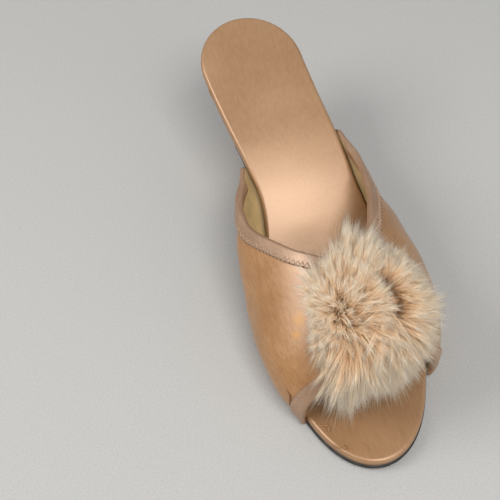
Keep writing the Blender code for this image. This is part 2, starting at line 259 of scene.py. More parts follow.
sole_leather = finish_of(
    "sole leather",
    lambda n: ramp(n, object_noise(n, 240), (0.45, SOLE_BLACK), (0.80, SOLE_SCUFF)),
    0.55,
    lambda n: bump(n, object_noise(n, 2600), 0.25, 0.0002))

sole_line = outline(BREAST_ALONG + GAP, PLAN_LENGTH, 110)
ledge = np.clip((sole_line[:, 1] - BREAST_ALONG) / LEDGE_FADE, 0, 1)[:, None]
sole_loop = inset(sole_line, LEDGE_TUCK - (OUTSOLE_LEDGE + LEDGE_TUCK) * ledge)
sole_loop[:, 1] = np.maximum(sole_loop[:, 1], BREAST_ALONG + GAP)
sole_top = INSOLE_THICK + GAP
# From the middle of the tread round the edge to the middle of the top: distance
# inwards, share of the way to the spine, drop below the insole top
sole_rows = (
    (0.0007, 1.00, STACK), (0.0007, 0.50, STACK), (0.0007, 0.04, STACK),
    (0.0007, 0.00, STACK), (0.0003, 0.00, STACK - 0.0002), (0.0000, 0.00, STACK - 0.0006),
    (0.0000, 0.00, sole_top + 0.0002), (0.0002, 0.00, sole_top), (0.0002, 0.10, sole_top),
    (0.0002, 0.50, sole_top), (0.0002, 1.00, sole_top))
outsole = piece("outsole_leather", sole_skin(sole_loop, sole_rows),
                cells(len(sole_rows), len(sole_loop), wrap=True), sole_leather)
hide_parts("outsole")


# Insole
# A shank board with thin foam on it, wrapped in tan satin that is drawn round a soft rim.
# The sock shows all over, so its satin runs from the seat to the toe without a seam.
SATIN_TAN = (0.405, 0.222, 0.104, 1)
SATIN_TAN_DEEP = (0.325, 0.170, 0.074, 1)
SATIN_TAN_PALE = (0.470, 0.280, 0.148, 1)
SOCK_CROWN = 0.0006
RIM_TUCK = 0.0005
RIM_ROUND = 0.0018


def satin_weave():
    """Node group of a satin cloth: long slubs along the shoe, soft patches and a thread grain.

    All three are noise, the slubs stretched along Y. The tone is their mean, and the
    height is the slubs plus the grain.
    """
    group = bpy.data.node_groups.new("satin weave", "ShaderNodeTree")
    face = group.interface
    face.new_socket("Slub Scale", in_out="INPUT", socket_type="NodeSocketFloat").default_value = 1.0
    face.new_socket("Tone", in_out="OUTPUT", socket_type="NodeSocketFloat")
    face.new_socket("Height", in_out="OUTPUT", socket_type="NodeSocketFloat")
    nodes = group.nodes
    outside = nodes.new("NodeGroupInput")
    result = nodes.new("NodeGroupOutput")
    where = add(nodes, "ShaderNodeTexCoord").outputs["Object"]
    stretched = add(nodes, "ShaderNodeMapping", {"Vector": where, "Scale": (900, 110, 900)})
    slubs = add(nodes, "ShaderNodeTexNoise", {
        "Vector": stretched.outputs["Vector"], "Scale": outside.outputs["Slub Scale"],
        "Detail": 4.0, "Roughness": 0.6}).outputs["Fac"]
    patches = add(nodes, "ShaderNodeTexNoise", {
        "Vector": where, "Scale": 38.0, "Detail": 3.0}).outputs["Fac"]
    grain = add(nodes, "ShaderNodeTexNoise", {
        "Vector": where, "Scale": 2400.0, "Detail": 2.0, "Roughness": 0.7}).outputs["Fac"]
    coarse = add(nodes, "ShaderNodeMath", {0: slubs, 1: patches}, operation="ADD").outputs[0]
    mixed = add(nodes, "ShaderNodeMath", {0: coarse, 1: grain}, operation="ADD").outputs[0]
    tone = add(nodes, "ShaderNodeMath", {0: mixed, 1: 1 / 3}, operation="MULTIPLY").outputs[0]
    height = add(nodes, "ShaderNodeMath", {0: slubs, 1: grain}, operation="ADD").outputs[0]
    group.links.new(tone, result.inputs["Tone"])
    group.links.new(height, result.inputs["Height"])
    return group


weave = satin_weave()


def weave_out(nodes, socket, slub_scale=1.0):
    """One output of the satin weave group."""
    made = add(nodes, "ShaderNodeGroup", node_tree=weave)
    made.inputs["Slub Scale"].default_value = slub_scale
    return made.outputs[socket]


def value_range(nodes, value, low, high):
    """Value between 0.3 and 0.7 laid over a new range."""
    return add(nodes, "ShaderNodeMapRange", {
        "Value": value, "From Min": 0.3, "From Max": 0.7, "To Min": low,
        "To Max": high}).outputs["Result"]


sock_satin = finish_of(
    "tan sock satin",
    lambda n: ramp(n, weave_out(n, "Tone"), (0.33, SATIN_TAN_DEEP), (0.50, SATIN_TAN),
                   (0.70, SATIN_TAN_PALE)),
    lambda n: value_range(n, weave_out(n, "Tone"), 0.32, 0.42),
    lambda n: bump(n, weave_out(n, "Height"), 0.28, 0.00009),
    Metallic=0.25, Specular_IOR_Level=1.0)

sock_loop = outline(0, PLAN_LENGTH, 150)
# From the middle of the underside, round the soft rim, to the crowned middle of the top
rim = [(RIM_TUCK, share, INSOLE_THICK) for share in (1.0, 0.5, 0.05)]
rim += [(RIM_TUCK, 0, INSOLE_THICK), (0.3 * RIM_TUCK, 0, 0.93 * INSOLE_THICK)]
turn_over = np.linspace(0, pi / 2, 9)
rim += [(RIM_ROUND * (1 - np.cos(a)), 0, 0.5 * INSOLE_THICK * (1 - np.sin(a)))
        for a in turn_over]
rim += [(RIM_ROUND, share, -SOCK_CROWN * np.sin(pi / 2 * share))
        for share in (0.05, 0.12, 0.22, 0.35, 0.50, 0.66, 0.83, 1.0)]
insole = piece("insole_sock", sole_skin(sock_loop, rim),
               cells(len(rim), len(sock_loop), wrap=True), sock_satin)
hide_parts("insole")


# Frayed threads on the sock
# Two loops of satin thread and its backing have lifted near the medial side of the toe,
# the rim of the seat is nicked, and a short loose hair lies on the sock. The threads' dark
# brown, mixed by noise into the sock's tan, is painted shadow of the lifted loops.
FRAY_SHADOW_BROWN = (0.300, 0.150, 0.060, 1)
FRAY_TABLE = dict(
    across=((-0.0211, -0.0190, -0.0165, -0.0163, -0.0188),
            (-0.0170, -0.0152, -0.0128, -0.0118, -0.0122),
            (-0.0233, -0.0236, -0.0235, -0.0234, -0.0230),
            (-0.0048, -0.0036, -0.0028, -0.0026, -0.0027)),
    ahead=((-0.0342, -0.0362, -0.0374, -0.0393, -0.0404),
           (-0.0465, -0.0488, -0.0500, -0.0492, -0.0480),
           (0.1325, 0.1315, 0.1300, 0.1285, 0.1270),
           (-0.0500, -0.0505, -0.0515, -0.0532, -0.0548)),
    lift=((0.0000, 0.0006, 0.0009, 0.0006, 0.0001),
          (0.0001, 0.0005, 0.0008, 0.0005, 0.0000),
          (-0.0020, -0.0019, -0.0018, -0.0019, -0.0020),
          (0.0006, 0.0009, 0.0008, 0.0006, 0.0003)),
    thick=(0.00042, 0.00036, 0.00024, 0.00010))
FRAY_CLEAR = 0.0001


def capped(rings):
    """Rings with a first and last one drawn into the middle of each end."""
    first = np.broadcast_to(rings[0].mean(0), rings[0].shape)
    last = np.broadcast_to(rings[-1].mean(0), rings[-1].shape)
    return np.concatenate([first[None], rings, last[None]])


def tube(path, radius, sides=8):
    """Rings of a tube, each square to its path and level with the floor, with capped ends."""
    along = np.gradient(path, axis=0)
    along /= np.linalg.norm(along, axis=1, keepdims=True)
    level = np.cross(along, (0.0, 0.0, 1.0))
    level /= np.linalg.norm(level, axis=1, keepdims=True) + 1e-12
    rise = np.cross(along, level)
    spin = 2 * pi * np.arange(sides) / sides
    width = np.broadcast_to(radius, len(path))[:, None, None]
    return capped(path[:, None] + width * (np.cos(spin)[:, None] * level[:, None]
                                           + np.sin(spin)[:, None] * rise[:, None]))


def thinning(share, end, power):
    """Thickness along a thread: a power of its sine, held near each end."""
    return np.sin(pi * np.clip(share, end, 1 - end)) ** power


def tube_faces(rings):
    """Cells of one tube's rings, or of several tubes of the same size one after the other."""
    count, sides = rings.shape[-3:-1]
    starts = np.arange(0, rings.size // 3, count * sides)[:, None, None]
    return (cells(count, sides, wrap=True) + starts).reshape(-1, 4)


# Sock tan mixed by noise with dark brown that is painted shadow of the lifted loops
fray_thread = finish_of(
    "frayed thread",
    lambda n: ramp(n, object_noise(n, 900), (0.35, FRAY_SHADOW_BROWN), (0.70, SATIN_TAN)),
    0.7)
spots = np.linspace(0, 1, 5)
fine = np.linspace(0, 1, 24)
fray_tubes = []
for across, ahead, lift, thick in zip(*FRAY_TABLE.values()):
    x, y, z = (curve(spots, row)(fine) for row in (across, ahead, lift))
    line = np.stack([x, y, insole_top(TREAD_ALONG - y) + z + FRAY_CLEAR], -1)
    fray_tubes.append(tube(line, thick * thinning(fine, 0.06, 0.5)))
fray_rings = np.stack(fray_tubes)
frays = piece("insole_frays", fray_rings, tube_faces(fray_rings), fray_thread)


# Heel
# A slanting block under the seat, covered in the sock's satin before the insole is laid on.
# Its cover is drawn in at the breast, and a plain top piece is nailed underneath.
HEEL_INSET = 0.0007
HEEL_STATIONS = 60
TIP_THICK = 0.0045
HEEL_TABLE = dict(
    height=(0.0, 0.2, 0.42, 0.58, 0.75, 0.9, 1.0),
    back=(0.500, 0.400, 0.280, 0.195, 0.110, 0.040, 0.012),
    front=(0.900, 0.880, 0.885, 0.905, 0.935, 0.975, 1.0),
    half=(0.460, 0.490, 0.570, 0.660, 0.790, 0.930, 1.0))
TIP_BLACK = (0.016, 0.015, 0.014, 1)
heel_form = {name: curve(HEEL_TABLE["height"], HEEL_TABLE[name]) for name in HEEL_TABLE}


def heel_ring(share):
    """The seat's outline squeezed to the heel's length and width at a share of its height."""
    seat = inset(outline(0, BREAST_ALONG - GAP, HEEL_STATIONS), HEEL_INSET)
    back = heel_form["back"](share) * BREAST_ALONG
    front = heel_form["front"](share) * (BREAST_ALONG - GAP)
    along = back + (front - back) * (seat[:, 1] - seat[:, 1].min()) / np.ptp(seat[:, 1])
    middle = centre_line(seat[:, 1])
    across = (seat[:, 0] - middle) * heel_form["half"](share)
    across += middle * share + centre_line(0.5 * BREAST_ALONG) * (1 - share)
    base = TIP_THICK + GAP
    top = insole_top(seat[:, 1]) - INSOLE_THICK - GAP
    return place(across, along, base + (top - base) * share)


heel_rings = capped(np.stack([heel_ring(s) for s in np.linspace(0, 1, 48)]))
heel = piece("heel_cover", heel_rings, cells(*heel_rings.shape[:2], wrap=True), sock_satin)
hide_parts("heel")

tip_rubber = finish_of(
    "top piece rubber",
    lambda n: ramp(n, object_noise(n, 700), (0.4, TIP_BLACK), (0.8, SOLE_SCUFF)),
    0.7, lambda n: bump(n, object_noise(n, 3000), 0.2, 0.0002))
foot_ring = heel_ring(0.0)
tip_levels = []
# From the floor up: share of the heel's own foot, and height
for shrink, height in ((0.94, 0.0), (0.98, 0.0003), (1.0, 0.001), (1.0, TIP_THICK)):
    ring = foot_ring.mean(0) + (foot_ring - foot_ring.mean(0)) * shrink
    ring[:, 2] = height
    tip_levels.append(ring)
tip_rings = capped(np.stack(tip_levels))
tip = piece("heel_top_piece", tip_rings, cells(*tip_rings.shape[:2], wrap=True), tip_rubber)
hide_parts("heel_tip")


# Upper
# Satin over a thin stiffening, lined in olive cotton and lasted under the insole's edge.
# It is drawn tight over the vamp, with soft drag lines from the throat and the toe binding.
WALL = 0.0015
THROAT_HEIGHT = 0.0600
FORM_TABLE = dict(
    along=(0.25, 0.31, 0.345, 0.385, 0.42, 0.463, 0.504, 0.536, 0.567, 0.62, 0.664,
           0.709, 0.775, 0.819, 0.864, 0.93),
    across=(0.080, 0.070, 0.060, 0.055, 0.053, 0.055, 0.070, 0.088, 0.105, 0.135, 0.168,
            0.187, 0.179, 0.165, 0.149, 0.130),
    height=(1.25, 1.27, 1.27, 1.25, 1.225, 1.20, 1.133, 1.115, 1.09, 1.047, 1.0,
            0.933, 0.825, 0.733, 0.650, 0.530),
    medial=(0.030, 0.130, 0.200, 0.270, 0.320, 0.360, 0.370, 0.350, 0.320, 0.250, 0.220,
            0.213, 0.213, 0.187, 0.050, 0.0),
    lateral=(0.0, 0.030, 0.055, 0.070, 0.070, 0.070, 0.125, 0.165, 0.180, 0.187, 0.187,
             0.187, 0.187, 0.150, 0.040, 0.0))
TOPLINE_TABLE = dict(
    turn=(-1.0, -0.89, -0.78, -0.67, -0.44, -0.22, 0.0, 0.22, 0.44, 0.67, 0.78, 0.89, 1.0),
    along=(0.322, 0.366, 0.405, 0.452, 0.554, 0.624, 0.660, 0.616, 0.516, 0.434, 0.390,
           0.344, 0.292))
OPENING_TABLE = dict(
    turn=(-1.0, -0.5, 0.0, 0.5, 1.0),
    along=(0.862, 0.862, 0.851, 0.840, 0.833))
# Drag lines: place along the shoe and turn round it, half length, half width and depth
# in millimetres, and lean from the shoe's length in degrees
CREASE_TABLE = dict(
    along=(0.560, 0.620, 0.660, 0.740, 0.800, 0.835, 0.845, 0.760, 0.600),
    turn=(-0.800, -0.640, -0.560, -0.820, -0.700, -0.880, -0.620, 0.620, 0.700),
    half_length=(11, 12, 9, 16, 12, 5, 6, 14, 14),
    half_width=(2.2, 2.6, 2.0, 3.0, 2.4, 1.2, 1.3, 3.0, 2.6),
    depth=(0.45, 0.35, 0.30, 0.40, 0.30, 0.30, 0.25, 0.35, 0.35),
    lean=(12, -24, 66, 8, -12, -6, 10, 10, 14))
SATIN_GOLD = (0.395, 0.184, 0.054, 1)
SATIN_GOLD_DEEP = (0.275, 0.118, 0.032, 1)
SATIN_GOLD_PALE = (0.530, 0.290, 0.130, 1)
STAIN_ORANGE = (0.560, 0.250, 0.030, 1)
STAIN_DROPS = (((-0.0165, 0.0010, 0.0482), 0.0052), ((-0.0198, -0.0040, 0.0443), 0.0036))
LINING_OLIVE = (0.640, 0.455, 0.200, 1)
LINING_DEEP = (0.430, 0.290, 0.115, 1)
NICK_BROWN = (0.110, 0.045, 0.015, 1)
TURN_WIDTH = 0.062
SIDE_POWER = 0.8
SWELL_GAIN = 3.5

form = {name: curve(FORM_TABLE["along"], FORM_TABLE[name]) for name in FORM_TABLE}
topline = curve(TOPLINE_TABLE["turn"], TOPLINE_TABLE["along"])
opening = curve(OPENING_TABLE["turn"], OPENING_TABLE["along"])


def form_point(along, turn):
    """Outside of the upper at a distance along and a turn, -1 medial to +1 lateral.

    Each section is half an oval from the feather line to the ridge, its width a power
    of the cosine of the lift, plus a low swell of sine times cosine to the fourth.
    """
    share = along / PLAN_LENGTH
    side = np.where(turn < 0, -1.0, 1.0)
    lift = pi / 2 * (1 - np.abs(turn))
    floor = insole_top(along) - INSOLE_THICK
    ridge_x = HALF_BALL * form["across"](share)
    ridge_z = THROAT_HEIGHT * form["height"](share)
    swell = HALF_BALL * np.where(turn < 0, form["medial"](share), form["lateral"](share))
    foot = centre_line(along) + side * (half_width(along) + GAP + WALL)
    reach = side * (foot - ridge_x) * np.clip(np.cos(lift), 0, 1) ** SIDE_POWER
    swollen = reach + swell * SWELL_GAIN * np.sin(lift) * np.cos(lift) ** 4
    return place(ridge_x + side * swollen, along, floor + (ridge_z - floor) * np.sin(lift))


def form_frame(along, turn):
    """Rates of the outside along and around by small steps, and its outward normal."""
    small = 1e-4
    per_along = (form_point(along + small, turn) - form_point(along - small, turn)) / (2 * small)
    ahead, back = np.clip(turn + 2e-3, -1, 1), np.clip(turn - 2e-3, -1, 1)
    per_turn = (form_point(along, ahead) - form_point(along, back)) / (ahead - back)[..., None]
    normal = np.cross(per_along, per_turn)
    normal /= np.linalg.norm(normal, axis=-1, keepdims=True)
    return per_along, per_turn, normal


def crease(along, turn):
    """Depth of the drag lines: a bell across each line, fading with the fourth power along it."""
    depth = np.zeros(np.broadcast(along, turn).shape)
    for at, spin, half_length, half_width_mm, deep, lean in zip(*CREASE_TABLE.values()):
        ahead = (along - at * PLAN_LENGTH) * 1000
        around = (turn - spin) * TURN_WIDTH * 1000
        c, s = np.cos(radians(lean)), np.sin(radians(lean))
        down, off = ahead * c + around * s, around * c - ahead * s
        depth += 0.001 * deep * np.exp(-(off / half_width_mm) ** 2 - (down / half_length) ** 4)
    return depth


def upper_shell():
    """The upper's outside grid less its creases, the same grid a wall further in, and a border.

    The faces come outside first, then inside, then round the border.
    """
    turns = np.linspace(-1, 1, 171)
    share = np.linspace(0, 1, 90)
    start, end = topline(turns) * PLAN_LENGTH, opening(turns) * PLAN_LENGTH
    along = start[:, None] + (end - start)[:, None] * share
    turn = np.repeat(turns[:, None], len(share), 1)
    normal = form_frame(along, turn)[2]
    outside = form_point(along, turn) - crease(along, turn)[..., None] * normal
    inside = outside - WALL * normal
    rows, columns = along.shape
    size = rows * columns
    border = np.concatenate([
        np.arange(columns), np.arange(1, rows) * columns + columns - 1,
        (rows - 1) * columns + np.arange(columns - 2, -1, -1),
        np.arange(rows - 2, 0, -1) * columns])
    ahead = np.roll(border, -1)
    skin = cells(rows, columns)
    edge = np.stack([border, size + border, size + ahead, ahead], -1)
    return (np.concatenate([outside.reshape(-1, 3), inside.reshape(-1, 3)]),
            np.concatenate([skin, skin[:, ::-1] + size, edge]), len(skin))


def stain_mask(nodes):
    """Soft-edged spots at the stain's two drops: nearness to each centre, broken by noise."""
    where = add(nodes, "ShaderNodeTexCoord").outputs["Object"]
    wobble = add(nodes, "ShaderNodeTexNoise", {"Vector": where, "Scale": 420.0,
                                               "Detail": 3.0}).outputs["Color"]
    shift = add(nodes, "ShaderNodeMix", {"Factor": 0.0035, "A": where, "B": wobble},
                data_type="VECTOR")
    spots = []
    for centre, reach in STAIN_DROPS:
        apart = add(nodes, "ShaderNodeVectorMath", {0: shift.outputs["Result"], 1: centre},
                    operation="DISTANCE").outputs["Value"]
        spots.append(add(nodes, "ShaderNodeMapRange", {
            "Value": apart, "From Min": 0.25 * reach, "From Max": reach, "To Min": 0.85,
            "To Max": 0.0}, interpolation_type="SMOOTHSTEP").outputs["Result"])
    return add(nodes, "ShaderNodeMath", {0: spots[0], 1: spots[1]},
               operation="MAXIMUM").outputs[0]


def upper_colour(nodes):
    """Golden satin tone with the orange stain laid over it."""
    cloth = ramp(nodes, weave_out(nodes, "Tone"), (0.34, SATIN_GOLD_DEEP), (0.50, SATIN_GOLD),
                 (0.68, SATIN_GOLD_PALE))
    return add(nodes, "ShaderNodeMix", {
        "Factor": stain_mask(nodes), "A": cloth, "B": STAIN_ORANGE},
        data_type="RGBA").outputs["Result"]


upper_satin = finish_of(
    "golden vamp satin", upper_colour,
    lambda n: value_range(n, weave_out(n, "Tone"), 0.28, 0.42),
    lambda n: bump(n, weave_out(n, "Height"), 0.32, 0.00014),
    Metallic=0.15, Specular_IOR_Level=1.0, Coat_Weight=0.42, Coat_Roughness=0.32)
lining_cotton = finish_of(
    "olive lining cotton",
    lambda n: ramp(n, object_noise(n, 70, stretch=(1, 0.6, 1)), (0.35, LINING_DEEP),
                   (0.60, LINING_OLIVE)),
    0.75, lambda n: bump(n, object_noise(n, 2600), 0.4, 0.00015),
    Sheen_Weight=0.2)

upper_points, upper_faces, skin_faces = upper_shell()
upper = piece("upper_satin", upper_points, upper_faces, upper_satin, merge=0)
upper.data.materials.append(lining_cotton)
inner_faces = np.zeros(len(upper_faces), np.int32)
inner_faces[skin_faces:2 * skin_faces] = 1
upper.data.polygons.foreach_set("material_index", inner_faces)
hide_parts("upper")

# Lasting margin: the upper's lower edge turned in and cemented between insole and outsole
MARGIN_WIDTH = 0.0045
MARGIN_SPARE = 0.001
margin_sides = []
for side in (-1, 1):
    run = np.linspace(PLAN_LENGTH * float(topline(side)) + MARGIN_SPARE,
                      PLAN_LENGTH * float(opening(side)) - MARGIN_SPARE, 80)
    edge = half_width(run) + GAP + 0.9 * WALL
    floor_level = insole_top(run) - INSOLE_THICK
    section = ((edge, 0.1 * GAP), (edge - MARGIN_WIDTH, 0.1 * GAP),
               (edge - MARGIN_WIDTH, 0.9 * GAP), (edge, 0.9 * GAP))
    ring = np.stack([place(centre_line(run) + side * off, run, floor_level - drop)
                     for off, drop in section], 1)
    margin_sides.append(capped(ring if side > 0 else ring[:, ::-1]))
margin_rings = np.stack(margin_sides)
margin = piece("upper_lasting_margin", margin_rings, tube_faces(margin_rings), lining_cotton)

# Pulled thread on the medial side of the vamp, just behind the toe binding
NICK_RADIUS = 0.00045
nick_brown = finish_of("pulled thread", lambda n: ramp(
    n, object_noise(n, 900), (0.3, NICK_BROWN), (0.8, SATIN_GOLD_DEEP)), 0.7)
nick_share = np.linspace(0, 1, 20)
nick_spots = (0.0, 0.35, 0.65, 1.0)
nick_line = np.stack([curve(nick_spots, row)(nick_share) for row in (
    (-0.0308, -0.0299, -0.0300, -0.0306), (-0.0200, -0.0236, -0.0240, -0.0243),
    (0.0240, 0.0212, 0.0175, 0.0134))], -1)
nick_rings = tube(nick_line, NICK_RADIUS * thinning(nick_share, 0.05, 0.6))
nick = piece("upper_pulled_thread", nick_rings, tube_faces(nick_rings), nick_brown)


# Bindings
# Bias strips of paler pinkish satin, folded over the raw edges of the throat and the toe.
# The throat's is caught down with a zigzag stitch, the toe's with a straight one.
BINDING_WIDTH = 0.0056
BINDING_TUCK = 0.0034
BINDING_THICK = 0.0008
BINDING_ROSE = (0.370, 0.222, 0.132, 1)
BINDING_ROSE_DEEP = (0.280, 0.162, 0.092, 1)
BINDING_ROSE_PALE = (0.470, 0.305, 0.200, 1)
THREAD_PALE = (0.600, 0.430, 0.310, 1)
# The needle holes' dark brown is painted shade inside the holes
NEEDLE_HOLE_SHADE = (0.100, 0.048, 0.024, 1)
NEEDLE_HOLE_SHADE_DEEP = (0.060, 0.028, 0.013, 1)
THREAD_RADIUS = 0.00022
HOLE_RADIUS = 0.00046


def edge_frame(edge, turns, inward):
    """Along an edge of the upper: steps in along and turn per metre square to the edge."""
    along = PLAN_LENGTH * edge(turns)
    per_along, per_turn, normal = form_frame(along, turns)
    small = 2e-3
    step = PLAN_LENGTH * (edge(turns + small) - edge(turns - small)) / (2 * small)
    line = per_turn + per_along * step[:, None]
    line /= np.linalg.norm(line, axis=1, keepdims=True)
    into = np.cross(normal, line)
    into *= np.sign((into * per_along).sum(1) * inward)[:, None]
    aa, at, tt = ((per_along ** 2).sum(1), (per_along * per_turn).sum(1), (per_turn ** 2).sum(1))
    with_along, with_turn = (into * per_along).sum(1), (into * per_turn).sum(1)
    spread = aa * tt - at ** 2
    return (along, (with_along * tt - with_turn * at) / spread,
            (with_turn * aa - with_along * at) / spread)


def beside_edge(edge, turns, inward, across, out):
    """Points a distance across from an edge of the upper and a distance off its surface."""
    along, per_along, per_turn = edge_frame(edge, turns, inward)
    across = np.asarray(across)
    along = along + across * per_along
    turn = np.clip(turns + across * per_turn, -1, 1)
    point, normal = form_point(along, turn), form_frame(along, turn)[2]
    sunk = np.broadcast_to(out, turns.shape)[:, None]
    return point + sunk * normal


def edge_run(edge, turns, inward):
    """Length along an edge of the upper from its first turn to each of its turns."""
    line = beside_edge(edge, turns, inward, 0.0, 0.0)
    return np.concatenate([[0], np.cumsum(np.linalg.norm(np.diff(line, axis=0), axis=1))])


def binding_rings(edge, turns, inward):
    """Sections of a folded strip: a soft outer leg, a round fold over the edge, a lining leg."""
    above = form_point(PLAN_LENGTH * edge(turns), turns)[:, 2]
    above = above - insole_top(PLAN_LENGTH * edge(turns))
    free = np.clip((above - 2 * GAP) / BINDING_TUCK, 0, 1)
    lining = np.clip(2 * free, 0, 1) * (GAP + BINDING_THICK)
    tuck = np.clip(2 * free - 1, 0, 1) * (BINDING_TUCK + 1.3 * GAP) - 1.3 * GAP
    high, under = GAP + BINDING_THICK, -WALL - lining
    inner = np.maximum(-0.8 * WALL - lining, -WALL - GAP)
    section = [(BINDING_WIDTH, 0.4 * GAP), (BINDING_WIDTH + 0.0001, 0.5 * high)]
    section += [(BINDING_WIDTH * s, high * (1 - 0.25 * (2 * s - 1) ** 8)) for s in
                (0.97, 0.90, 0.80, 0.70, 0.60, 0.50, 0.40, 0.30, 0.20, 0.10)]
    middle, round_out = (high + under) / 2, (high - under) / 2
    section += [(-0.0012 * np.sin(a), middle + round_out * np.cos(a))
                for a in np.linspace(0, pi, 13)]
    section += [(tuck * s, under) for s in (0.35, 0.7, 1.0)]
    section += [(tuck, inner), (0.5 * tuck, inner), (-GAP, inner), (-GAP, GAP),
                (0.3 * BINDING_WIDTH, 0.6 * GAP), (0.7 * BINDING_WIDTH, 0.6 * GAP)]
    rings = np.stack([beside_edge(edge, turns, inward, a, b) for a, b in section], 1)
    return capped(rings if inward < 0 else rings[:, ::-1])


binding_satin = finish_of(
    "rose binding satin",
    lambda n: ramp(n, weave_out(n, "Tone", 1.6), (0.36, BINDING_ROSE_DEEP),
                   (0.50, BINDING_ROSE), (0.66, BINDING_ROSE_PALE)),
    0.36, lambda n: bump(n, weave_out(n, "Height", 1.6), 0.3, 0.00010),
    Metallic=0.25, Specular_IOR_Level=0.8)
stitch_thread = finish_of(
    "stitching thread",
    lambda n: ramp(n, object_noise(n, 2200), (0.35, BINDING_ROSE_DEEP), (0.65, THREAD_PALE)),
    0.55)

topline_turns = np.linspace(-0.985, 0.985, 280)
topline_rings = binding_rings(topline, topline_turns, 1)
throat_binding = piece("topline_binding_strip", topline_rings,
                       cells(*topline_rings.shape[:2], wrap=True), binding_satin)
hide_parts("topline_binding")

opening_turns = np.linspace(-1, 1, 220)
opening_rings = binding_rings(opening, opening_turns, -1)
toe_strip = piece("toe_binding_strip", opening_rings,
                  cells(*opening_rings.shape[:2], wrap=True), binding_satin)
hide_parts("toe_binding")

# Zigzag stitch: a triangle wave across the strip, one turn every 2.2 mm of edge
ZIGZAG_PITCH = 0.0022
ZIGZAG_REACH = 0.0010
ZIGZAG_LINE = 0.0041
ZIGZAG_SPARE = 0.004
ZIGZAG_DIP = 0.00016
edge_length = edge_run(topline, topline_turns, 1)
zig_run = np.arange(ZIGZAG_SPARE, edge_length[-1] - ZIGZAG_SPARE, ZIGZAG_PITCH / 12)
wave = 2 / pi * np.arcsin(np.sin(2 * pi * zig_run / ZIGZAG_PITCH))
dip = ZIGZAG_DIP * np.abs(wave) ** 4
zig_turns = np.interp(zig_run, edge_length, topline_turns)
zigzag = beside_edge(topline, zig_turns, 1, ZIGZAG_LINE + ZIGZAG_REACH * wave,
                     GAP + BINDING_THICK + 0.0001 - dip)
zigzag_rings = tube(zigzag, THREAD_RADIUS, 6)
stitch = piece("topline_zigzag", zigzag_rings, tube_faces(zigzag_rings), stitch_thread)

# Needle holes: a small sunk button at each corner of the zigzag, coloured near black as painted
# shade inside the hole
corner_run = np.arange(ZIGZAG_SPARE + ZIGZAG_PITCH / 4, edge_length[-1] - ZIGZAG_SPARE,
                       ZIGZAG_PITCH / 2)
corner_wave = np.where(np.arange(len(corner_run)) % 2 == 0, 1.0, -1.0)
hole_spin = 2 * pi * np.arange(8) / 8
ring_sizes = (0.0, 0.7, 1.0, 0.0)
disc = np.stack([np.outer(ring_sizes, np.cos(hole_spin)).ravel(),
                 np.outer(ring_sizes, np.sin(hole_spin)).ravel()]) * HOLE_RADIUS
rise = np.repeat((0.0, -0.2, -1.0, -1.0), 8) * HOLE_RADIUS
around = np.interp(corner_run[:, None] + disc[0], edge_length, topline_turns)
across = ZIGZAG_LINE + (ZIGZAG_REACH + 0.0001) * corner_wave[:, None] + disc[1]
hole_points = beside_edge(topline, around.ravel(), 1, across.ravel(), np.tile(
    GAP + 0.93 * BINDING_THICK + 0.00008 + rise, len(corner_run)))
# Near-black painted shade for the inside of each needle hole
needle_hole_shade = finish_of("needle hole painted shade", lambda n: ramp(
    n, object_noise(n, 900), (0.3, NEEDLE_HOLE_SHADE_DEEP), (0.7, NEEDLE_HOLE_SHADE)), 0.9)
holes = hole_points.reshape(len(corner_run), 4, 8, 3)
pricks = piece("topline_needle_holes", holes, tube_faces(holes), needle_hole_shade)

# Straight stitch: one short bar of thread in every 2.4 mm of edge
DASH_PITCH = 0.0024
DASH_LENGTH = 0.68 * DASH_PITCH
DASH_STEPS = 9
DASH_LINE = 0.0045
DASH_SPARE = 0.003
DASH_SUNK, DASH_HUMP = 0.00012, 0.00022
front_length = edge_run(opening, opening_turns, -1)
starts = np.arange(DASH_SPARE, front_length[-1] - DASH_SPARE, DASH_PITCH)
bar = np.linspace(0, DASH_LENGTH, DASH_STEPS)
dash_run = (starts[:, None] + bar).ravel()
hump = np.tile(np.sin(np.linspace(0, pi, DASH_STEPS)), len(starts))
dashes = beside_edge(opening, np.interp(dash_run, front_length, opening_turns), -1, DASH_LINE,
                     GAP + BINDING_THICK - DASH_SUNK + DASH_HUMP * hump)
bars = np.stack([tube(line, THREAD_RADIUS, 6)
                 for line in dashes.reshape(len(starts), DASH_STEPS, 3)])
toe_stitch = piece("toe_straight_stitch", bars, tube_faces(bars), stitch_thread)


# Pompom
# Two whorls of long soft fur on a small pad, sewn to the middle of the vamp.
# The hair is cream at its tips and tan to brown at its roots, and lies in loose locks.
# The dark roots and tan are partly the fur's own colour and partly painted shade deep in the fur.
POMPOM_CENTRE = (0.26 * HALF_BALL, 0.792 * PLAN_LENGTH, 0.96 * THROAT_HEIGHT)
POMPOM_SLANT = radians(43)
# Lay of the fur on the pad's unit ball: the two whorls and the parting down to the toe
INNER_WHORL = (-0.78, -0.10)
OUTER_WHORL = (0.22, -0.32)
PARTING_TABLE = dict(
    down=(-1.0, -0.70, -0.42, -0.16, 0.20, 1.0),
    across=(-0.10, -0.03, 0.12, 0.22, 0.12, 0.10))
FUR_TURN = radians(16)
FUR_BED = np.array([0.0187, 0.0205, 0.0125])
FUR_SHIFT = np.array([-0.0025, 0.0, 0.0])
FUR_LENGTHS, GUARD_LENGTHS = (0.90, 1.12), (1.12, 1.35)
SIDE_LENGTH = 0.0122
DOWN_LENGTH = 0.0178
